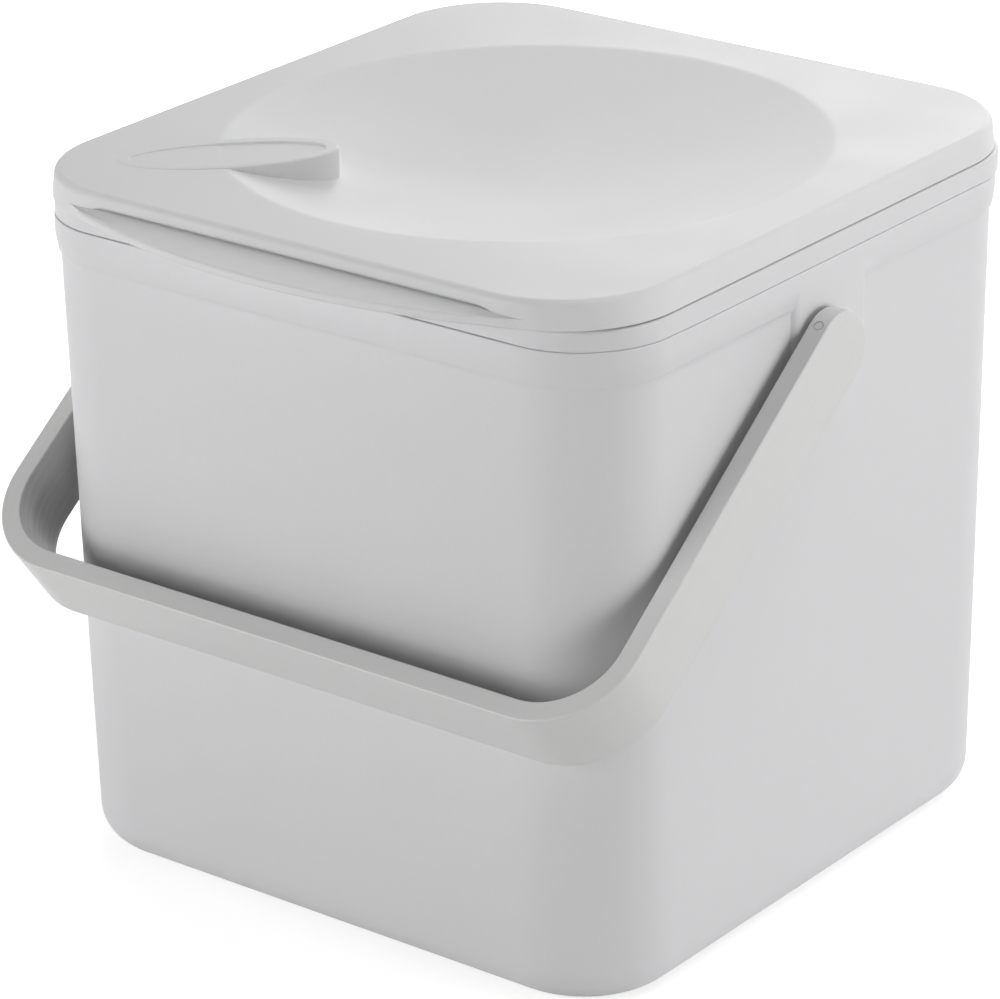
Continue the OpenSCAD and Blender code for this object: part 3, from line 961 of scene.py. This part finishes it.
def tab_ring(x):
    """Outline of the tab at one place along the front. Its face climbs to the groove at its root."""
    low, high = LID_Z, LID_Z + TAB_T
    wall, reach = tab_at(x)
    fade = 1 - min(1.0, reach / TAB_THIN)
    tip = wall - reach + TAB_BURIED * fade
    soft = min(TAB_SOFT, max(TAB_SHARP, reach / 3))
    front = min(SCOOP_RUN, SCOOP_SHARE * reach) - TAB_BURIED * fade
    climb = SCOOP_RISE * min(1.0, reach / SCOOP_RISE_REACH)
    quarter = spaced(0, math.pi / 2, 5)
    outline = [(wall + TAB_ROOT, low)]
    outline += [(tip + soft * (1 - math.sin(t)), low + soft * (1 - math.cos(t))) for t in quarter]
    outline += [(tip + soft * (1 - math.cos(t)), high - soft * (1 - math.sin(t))) for t in quarter]
    for share in spaced(0, 1, 8):
        outline.append((wall - front + (front + TAB_LAP * fade) * share, high + climb * share * share))
    outline.append((wall + TAB_ROOT, high + climb))
    return [Vector((x, y, z)) for y, z in outline]


def scoop_ring(x):
    """Cutter for the groove in the lid's wall over the tab's root, at one place along the front."""
    wall, reach = tab_at(x)
    share = rise(reach, *SCOOP_FADE)
    face, deep = wall + SCOOP_CLEAR * (2 * share - 1), SCOOP_UNDER * share
    low, high = LID_Z + TAB_T - SCOOP_BITE, LID_Z + TAB_T + SCOOP_RISE + (SCOOP_H - SCOOP_RISE) * share
    outline = [(wall - 4 * PAST, low), (wall - 4 * PAST, high)]
    for turn in spaced(0, math.pi / 2, 6):
        outline.append((face + deep * (1 - math.cos(turn)), high - SCOOP_ROUND * math.sin(turn)))
    outline.append((face + deep, low))
    return [Vector((x, y, z)) for y, z in outline]


def along_tab(name, ring_at):
    return loft(name, [ring_at(x) for x in spaced(-TAB_END, TAB_END, TAB_STEPS)])


def lid_flange():
    rings = []
    low, high = LID_Z - FLANGE_DROP, LID_ROOF + LID_T / 2
    for inset, z in (
        (FLANGE_SOFT, low),
        (0, low + FLANGE_SOFT),
        (0, high),
        (FLANGE_T, high),
        (FLANGE_T, low + FLANGE_SOFT),
        (FLANGE_T - FLANGE_SOFT, low),
    ):
        rings.append(square_ring(FLANGE_HALF - inset, MOUTH_R - inset, z))
    return loft("flange", rings, closed=True)


def knuckles():
    made = []
    front, back = HINGE_Y - KNUCKLE_R, LID_BACK - FACE_LEAN
    top = LID_ROOF + LID_T / 2
    web = [(front, HINGE_Z), (back, HINGE_Z), (back, top), (front, top)]
    for middle in (-HINGE_X, HINGE_X):
        made.append(round_bar("knuckle", HINGE_Y, HINGE_Z, KNUCKLE_R, KNUCKLE_W / 2, EAR_SOFT, middle))
        made.append(prism("knuckle_web", web, KNUCKLE_W / 2, WEB_SOFT, middle))
    return made


def build_lid(material):
    lid = loft("lid_shell", lid_rings(), material=material)
    ribs = new_piece("ribs", bmesh.new())
    sizes = {
        "Inner radius": DISH_RIM,
        "Outer radius": math.sqrt(2) * (FLANGE_HALF - MOUTH_R) + MOUTH_R - RIB_GAP,
        "Thickness": RIB_T,
        "Height": RIB_H + LID_T / 2,
        "Foot": LID_ROOF - RIB_H,
    }
    grow(ribs, corner_ribs_tree(), sizes, material)
    combine(lid, "DIFFERENCE", along_tab("groove", scoop_ring))
    combine(lid, "UNION", badge_plinth(), along_tab("tab", tab_ring), lid_flange(), ribs, *knuckles())
    combine(lid, "DIFFERENCE", *pin_bores(PIN_R + RUN_GAP, KNUCKLE_W / 2 + PAST))
    shade(lid)
    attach(lid, "lid")
    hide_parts("lid")


# The handle


def strap_outline(inset, level):
    """Outline of the flat strap at one level: two long edges and two round ends."""
    r = STRAP_W / 2 - inset
    stations = spaced(-STRAP_HALF_LENGTH, STRAP_HALF_LENGTH, STRAP_STEPS)
    ends = spaced(-math.pi / 2, math.pi / 2, 2 * END_STEPS)[1:-1]
    ring = [(s, -r) for s in stations]
    ring += [(STRAP_HALF_LENGTH + r * math.cos(turn), r * math.sin(turn)) for turn in ends]
    ring += [(s, r) for s in reversed(stations)]
    ring += [(-STRAP_HALF_LENGTH - r * math.cos(turn), -r * math.sin(turn)) for turn in ends]
    return [Vector((x, y, level)) for x, y in ring]


def flat_strap(material):
    """The strap laid flat, with round ends, soft long edges and rows across it that let it bend."""
    half = STRAP_T / 2
    quarter = spaced(0, math.pi / 2, 5)
    levels = [(STRAP_EDGE * (1 - math.sin(t)), STRAP_EDGE * (1 - math.cos(t)) - half) for t in quarter]
    levels += [(STRAP_EDGE * (1 - math.cos(t)), half - STRAP_EDGE * (1 - math.sin(t))) for t in quarter]
    form = bmesh.new()
    rows = [[form.verts.new(point * MM) for point in strap_outline(*level)] for level in levels]
    count = len(rows[0])
    for low, high in zip(rows, rows[1:]):
        for i in range(count):
            j = (i + 1) % count
            form.faces.new((low[i], low[j], high[j], high[i]))
    right_tip, left_tip = STRAP_STEPS + END_STEPS, 2 * STRAP_STEPS + 3 * END_STEPS
    right, left = STRAP_STEPS + 2 * END_STEPS, 2 * (STRAP_STEPS + END_STEPS)
    for row in (rows[0], rows[-1]):
        for i in range(STRAP_STEPS):
            form.faces.new((row[i], row[i + 1], row[left - i - 1], row[left - i]))
        for k in range(END_STEPS - 1):
            start, end = STRAP_STEPS + k, right - k
            form.faces.new((row[start], row[start + 1], row[end - 1], row[end]))
            start, end = left + k, count - k
            form.faces.new((row[end % count], row[start], row[start + 1], row[end - 1]))
        for tip in (right_tip, left_tip):
            form.faces.new((row[tip - 1], row[tip], row[tip + 1]))
    bmesh.ops.recalc_face_normals(form, faces=form.faces)
    return new_piece("handle_strap", form, material)


def snap_stud(side):
    """Shoulder, stem and split barb inside one arm, with the pivot axis on X."""
    inner = wall_half(PIVOT_Z) - WALL_T - FACE_GAP
    shoulder, arm = RIM_HALF + FACE_GAP, HANDLE_HALF - STRAP_T / 2
    profile = [
        (inner - BARB_L, AXIS_R),
        (inner - BARB_L, BARB_TIP_R),
        (inner - BARB_FLAT, BARB_R),
        (inner - BARB_SOFT, BARB_R),
        (inner, BARB_R - BARB_SOFT),
        (inner, STUD_R),
        (shoulder, STUD_R),
        (shoulder, SHOULDER_R - SHOULDER_SOFT),
        (shoulder + SHOULDER_SOFT, SHOULDER_R),
        (arm, SHOULDER_R),
        (arm, AXIS_R),
    ]
    stud = turned("stud", [(side * x, r) for x, r in profile], steps=72)
    low, high = sorted((side * (inner - BARB_L - PAST), side * (inner + WALL_T)))
    barb = BARB_R + PAST
    slot = block("slot", (low, -SLOT_W / 2, -barb), (high, SLOT_W / 2, barb))
    return combine(stud, "DIFFERENCE", slot)


def pivot_mark(side):
    """Cutter for the faint round mark on the arm's upper edge: a shallow disc in a fine ring."""
    edge, middle = STRAP_W / 2, side * (HANDLE_HALF - STRAP_T / 2)
    profile = (
        (edge - MARK_DEEP, MARK_DISC_R),
        (edge - MARK_GROOVE, MARK_RING_R[0]),
        (edge - MARK_GROOVE, MARK_RING_R[1]),
        (edge + PAST, MARK_R),
    )
    return loft("mark", [[Vector((middle + u, y, v)) for u, v in circle(r, 40)] for y, r in profile])


def strap_run(spot):
    """Place along, across and out of the strap for a point of the unturned handle, in metres."""
    far, across, reach = abs(spot.x) / MM, spot.y, spot.z / MM
    if far <= BAR_MID:
        along, out = far, reach - ARM_MID - BEND_MID
    elif reach >= ARM_MID:
        along = BAR_MID + BEND_MID * math.atan2(far - BAR_MID, reach - ARM_MID)
        out = math.hypot(far - BAR_MID, reach - ARM_MID) - BEND_MID
    else:
        along, out = BAR_MID + BEND_MID * math.pi / 2 + ARM_MID - reach, far - BAR_MID - BEND_MID
    return math.copysign(along * MM, spot.x), across, out * MM


def build_handle(material):
    handle = flat_strap(material)
    sizes = {
        "Half width": HANDLE_HALF - STRAP_T / 2,
        "Reach": HANDLE_L - STRAP_T / 2,
        "Bend radius": BEND_MID,
        "Bow": STRAP_BOW,
    }
    grow(handle, strap_bend_tree(), sizes, material)
    combine(handle, "UNION", snap_stud(1), snap_stud(-1))
    combine(handle, "DIFFERENCE", pivot_mark(1), pivot_mark(-1))
    shade(handle)
    pivot = Vector((0, PIVOT_Y, PIVOT_Z)) * MM
    run = handle.data.attributes.new("strap_run", "FLOAT_VECTOR", "POINT")
    for vertex, kept in zip(handle.data.vertices, run.data):
        kept.vector = strap_run(vertex.co)
        twist = STRAP_TWIST * vertex.co.x / (HANDLE_HALF * MM)
        vertex.co = pivot + Matrix.Rotation(math.pi / 2 + DROOP + twist, 3, "X") @ vertex.co
    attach(handle, "handle")
    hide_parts("handle")


# The plastics


class Finish:
    """A moulded plastic: its tone, cloud and speck from noise, with a fine satin grain."""

    def __init__(self, name, run=None):
        self.material = bpy.data.materials.new(name)
        self.material.use_nodes = True
        self.tree = self.material.node_tree
        self.shader = self.tree.nodes["Principled BSDF"]
        self.spot = self.tree.nodes.new("ShaderNodeTexCoord").outputs["Object"]
        if run:
            kept = self.tree.nodes.new("ShaderNodeAttribute")
            kept.attribute_name = run
            self.run = kept.outputs["Vector"]

    def noise(self, size, detail=2.0, rough=0.5, stretch=None, shift=(0, 0, 0)):
        """Noise with features of about one size in millimetres, or stretched along a strap's run."""
        place = self.tree.nodes.new("ShaderNodeMapping")
        place.inputs["Location"].default_value = shift
        if stretch:
            place.inputs["Scale"].default_value = stretch
            self.tree.links.new(self.run, place.inputs["Vector"])
        else:
            self.tree.links.new(self.spot, place.inputs["Vector"])
        made = self.tree.nodes.new("ShaderNodeTexNoise")
        made.inputs["Scale"].default_value = 1 / (size * MM)
        made.inputs["Detail"].default_value = detail
        made.inputs["Roughness"].default_value = rough
        self.tree.links.new(place.outputs[0], made.inputs["Vector"])
        return made.outputs[0]

    def spread(self, noise, low, high):
        """Maps the usual range of a noise on to the range from low to high."""
        return mapped(self.tree, noise, *NOISE_RANGE, low, high)

    def colour(self, tone, *sources):
        """Base colour: one tone, lighter and darker by the product of its sources."""
        share = sources[0]
        for source in sources[1:]:
            share = math_step(self.tree, "MULTIPLY", share, source)
        made = self.tree.nodes.new("ShaderNodeVectorMath")
        made.operation = "SCALE"
        made.inputs[0].default_value = tone
        self.tree.links.new(share, made.inputs["Scale"])
        self.tree.links.new(made.outputs[0], self.shader.inputs["Base Color"])

    def roughness(self, source):
        self.tree.links.new(source, self.shader.inputs["Roughness"])

    def bump(self, *layers):
        """Layers of (noise, height in millimetres)."""
        last = None
        for source, height in layers:
            made = self.tree.nodes.new("ShaderNodeBump")
            made.inputs["Distance"].default_value = height * MM
            self.tree.links.new(source, made.inputs["Height"])
            if last:
                self.tree.links.new(last, made.inputs["Normal"])
            last = made.outputs[0]
        self.tree.links.new(last, self.shader.inputs["Normal"])


def satin_wall(name, tone, cloud, shift=(0, 0, 0)):
    """Satin moulded polypropylene with soft flow clouds and a fine grain."""
    finish = Finish(name)
    clouds = finish.noise(CLOUD, 3.0, 0.55, shift=shift)
    finish.colour(
        tone,
        finish.spread(clouds, 1 - cloud, 1 + cloud),
        finish.spread(
            finish.noise(DRIFT, 1.0, shift=shift), 1 - DRIFT_SHARE * cloud, 1 + DRIFT_SHARE * cloud
        ),
        finish.spread(finish.noise(SPECK, 1.0), *WALL_SPECKS),
    )
    finish.roughness(finish.spread(clouds, *WALL_ROUGH))
    finish.shader.inputs["Specular IOR Level"].default_value = WALL_SPECULAR
    finish.bump((finish.noise(GRAIN, 1.0), WALL_GRAIN_DEEP), (finish.noise(WAVE, shift=shift), WAVE_DEEP))
    return finish.material


def inside_bends(finish):
    """1 on the strap's inner face round each bend, and 0 elsewhere."""
    run = finish.tree.nodes.new("ShaderNodeSeparateXYZ")
    finish.tree.links.new(finish.run, run.inputs[0])
    inside = mapped(finish.tree, run.outputs["Z"], INNER_FACE * MM, INNER_LAYER * MM, 1, 0)
    bend_middle = (BAR_MID + BEND_MID * math.pi / 4) * MM
    along = math_step(finish.tree, "PINGPONG", run.outputs["X"], bend_middle)
    near_bend = mapped(finish.tree, along, DRAG_START * MM, DRAG_FULL * MM, 0, 1)
    return math_step(finish.tree, "MULTIPLY", inside, near_bend)


def satin_strap(name, tone):
    """The handle's plastic, with flow bands that follow the strap round its bends and drag marks
    on the inner face of each bend."""
    finish = Finish(name, "strap_run")
    streaks = finish.noise(STREAK, 2.0, 0.6, stretch=STREAK_STRETCH)
    bands = finish.noise(FLOW_BAND, stretch=BAND_STRETCH)
    faint, clear = finish.spread(streaks, *FAINT_STREAKS), finish.spread(streaks, *DRAG_STREAKS)
    finish.colour(
        tone,
        mixed(finish.tree, inside_bends(finish), faint, clear),
        finish.spread(bands, *STRAP_SPECKS),
        finish.spread(finish.noise(SPECK, 1.0), *STRAP_SPECKS),
    )
    finish.roughness(finish.spread(bands, *STRAP_ROUGH))
    finish.bump((finish.noise(GRAIN, 1.0), FINE_GRAIN_DEEP), (bands, BAND_DEEP))
    return finish.material


def smooth_pin(name, tone):
    """The pins' slick, faintly mottled plastic."""
    finish = Finish(name)
    mottle = finish.noise(PIN_MOTTLE)
    speck = finish.noise(PIN_SPECK, 1.0)
    finish.colour(tone, finish.spread(mottle, *PIN_MOTTLES), finish.spread(speck, *PIN_SPECKS))
    finish.roughness(finish.spread(mottle, *PIN_ROUGH))
    finish.bump((finish.noise(PIN_GRAIN, 1.0), FINE_GRAIN_DEEP))
    return finish.material


# The studio


def from_angles(bearing, height):
    """Direction to a place at a bearing from the front and a height angle, in radians."""
    level = math.cos(height)
    return Vector((math.sin(bearing) * level, -math.cos(bearing) * level, math.sin(height)))


def photo_camera():
    back = from_angles(CAMERA_BEARING, CAMERA_HEIGHT)
    right = Vector((math.cos(CAMERA_BEARING), math.sin(CAMERA_BEARING), 0))
    up = back.cross(right)
    across = right * math.cos(CAMERA_ROLL) + up * math.sin(CAMERA_ROLL)
    upward = up * math.cos(CAMERA_ROLL) - right * math.sin(CAMERA_ROLL)
    place = right * CAMERA_ASIDE + Vector((0, 0, CAMERA_RAISED)) + back * CAMERA_AWAY
    data = bpy.data.cameras.new("photo_camera")
    data.lens = CAMERA_LENS
    data.sensor_width = CAMERA_SENSOR
    data.clip_end = CAMERA_SIGHT
    camera = bpy.data.objects.new("photo_camera", data)
    bpy.context.scene.collection.objects.link(camera)
    turn = Matrix((across, upward, back)).transposed().to_4x4()
    camera.matrix_world = Matrix.Translation(place) @ turn
    bpy.context.scene.camera = camera


def softbox(name, bearing, height, away, size, power, aim_z):
    """A soft lamp at a bearing from the front and a height angle, aimed at the object's middle."""
    aim = Vector((0, 0, aim_z))
    place = aim + away * from_angles(math.radians(bearing), math.radians(height))
    data = bpy.data.lights.new(name, "AREA")
    data.shape = "RECTANGLE"
    data.size, data.size_y = size
    data.energy = power
    lamp = bpy.data.objects.new(name, data)
    bpy.context.scene.collection.objects.link(lamp)
    lamp.location = place
    lamp.rotation_euler = (aim - place).to_track_quat("-Z", "Y").to_euler()


def seen_directly(tree):
    """1 for what the camera sees directly, in gloss or through something, and 0 for scattered light."""
    path = tree.nodes.new("ShaderNodeLightPath")
    last = path.outputs["Is Camera Ray"]
    for label in ("Is Glossy Ray", "Is Transmission Ray"):
        last = math_step(tree, "MAXIMUM", last, path.outputs[label])
    return last


def white_world(level):
    world = bpy.data.worlds.new("studio")
    bpy.context.scene.world = world
    world.use_nodes = True
    tree = world.node_tree
    background = tree.nodes["Background"]
    background.inputs["Color"].default_value = (1, 1, 1, 1)
    tree.links.new(mixed(tree, seen_directly(tree), level, 1), background.inputs["Strength"])


def floor(near_glow):
    """Pale floor: matt for scattered light, and lifted to white where it is seen, so that only the
    object's shadow shows on it. Away from the object it glows fully white."""
    form = bmesh.new()
    bmesh.ops.create_grid(form, x_segments=1, y_segments=1, size=FLOOR_SIZE)
    plane = new_piece("floor", form)
    material = bpy.data.materials.new("floor_white")
    material.use_nodes = True
    tree = material.node_tree
    matt = tree.nodes["Principled BSDF"]
    matt.inputs["Base Color"].default_value = FLOOR_TONE
    matt.inputs["Roughness"].default_value = FLOOR_ROUGH
    matt.inputs["Specular IOR Level"].default_value = 0
    glow = tree.nodes.new("ShaderNodeEmission")
    spot = tree.nodes.new("ShaderNodeTexCoord").outputs["Object"]
    away = tree.nodes.new("ShaderNodeVectorMath")
    away.operation = "LENGTH"
    tree.links.new(spot, away.inputs[0])
    level = mapped(tree, away.outputs["Value"], FLOOR_NEAR, FLOOR_FAR, near_glow, 1)
    tree.links.new(level, glow.inputs["Strength"])
    both = tree.nodes.new("ShaderNodeAddShader")
    mix = tree.nodes.new("ShaderNodeMixShader")
    tree.links.new(matt.outputs[0], both.inputs[0])
    tree.links.new(glow.outputs[0], both.inputs[1])
    tree.links.new(seen_directly(tree), mix.inputs[0])
    tree.links.new(matt.outputs[0], mix.inputs[1])
    tree.links.new(both.outputs[0], mix.inputs[2])
    tree.links.new(mix.outputs[0], tree.nodes["Material Output"].inputs["Surface"])
    plane.data.materials.append(material)


tub_grey = satin_wall("tub_grey", WALL_TONE, WALL_CLOUD)
collar_grey = satin_wall("collar_grey", WALL_TONE, WALL_CLOUD, COLLAR_SHIFT)
lid_grey = satin_wall("lid_grey", LID_TONE, LID_CLOUD, LID_SHIFT)
strap_grey = satin_strap("strap_grey", STRAP_TONE)
pin_grey = smooth_pin("pin_grey", PIN_TONE)
finishes = {"tub": tub_grey, "liner_collar": collar_grey, "lid": lid_grey, "handle": strap_grey}
for name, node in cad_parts.items():
    node.data.materials.clear()
    node.data.materials.append(finishes.get(name, pin_grey))

build_tub(tub_grey)
build_collar(collar_grey)
build_lid(lid_grey)
build_handle(strap_grey)

bpy.context.scene.view_settings.view_transform = "Standard"
photo_camera()
white_world(WORLD_LEVEL)
floor(FLOOR_GLOW)
for name, bearing, height, power in (
    ("front_left_low", -25, 0, 2.0),
    ("front_left_high", -25, 15, 7.8),
    ("front", 0, 0, 2.0),
    ("right_low", 100, 0, 6.8),
    ("right_high", 100, 15, 3.7),
    ("back_right", 145, 40, 2.6),
    ("back", 200, 20, 4.0),
    ("back_left", 235, 45, 2.6),
):
    softbox(name, bearing, height, ROOM_AWAY, ROOM_SIZE, power, ROOM_AIM)
for name, bearing, height, away, power in (
    ("lid_back", 160, 60, 0.71, 0.6),
    ("lid_right", 90, 60, 0.61, 0.55),
    ("lid_top", 120, 75, 0.55, 0.7),
):
    softbox(name, bearing, height, away, LID_LAMP_SIZE, power, LID_LAMP_AIM)
